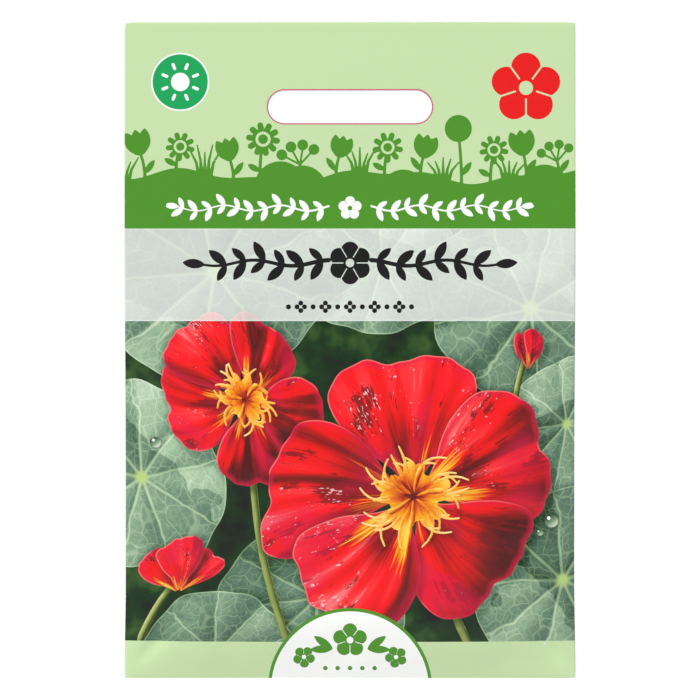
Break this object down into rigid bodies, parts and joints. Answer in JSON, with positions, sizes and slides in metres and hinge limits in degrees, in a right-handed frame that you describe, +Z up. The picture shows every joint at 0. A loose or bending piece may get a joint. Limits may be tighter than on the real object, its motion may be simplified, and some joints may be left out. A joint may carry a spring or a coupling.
{
  "type": "seed packet",
  "caption": "Printed paper seed packet with a die-cut hang slot in its header, filled with a sealed sachet of seeds.",
  "frame": {"origin": "middle of the hang slot's upper edge, half-way through the header, where a display hook carries it", "axes": "+Z up, from the bottom fold to the top fold; the printed front faces -Y; +X to the right seen from the front"},
  "size_m": [0.11, 0.0093, 0.16],
  "materials": {
    "printed_paper": "coated, printed, satin, with white cut edges",
    "sachet_film": "foil laminate, satin, with crimped seals",
    "seed_husk": "corky, wrinkled, matte"
  },
  "bodies": {
    "root": {"packet_sheet": "printed_paper", "sachet_front_film": "sachet_film", "sachet_back_film": "sachet_film", "seed_01": "seed_husk", "seed_02": "seed_husk", "seed_03": "seed_husk", "seed_04": "seed_husk", "seed_05": "seed_husk", "seed_06": "seed_husk", "seed_07": "seed_husk", "seed_08": "seed_husk", "seed_09": "seed_husk", "seed_10": "seed_husk", "seed_11": "seed_husk", "seed_12": "seed_husk", "seed_13": "seed_husk", "seed_14": "seed_husk", "seed_15": "seed_husk", "seed_16": "seed_husk", "seed_17": "seed_husk", "seed_18": "seed_husk", "seed_19": "seed_husk", "seed_20": "seed_husk", "seed_21": "seed_husk"}
  },
  "joints": []
}
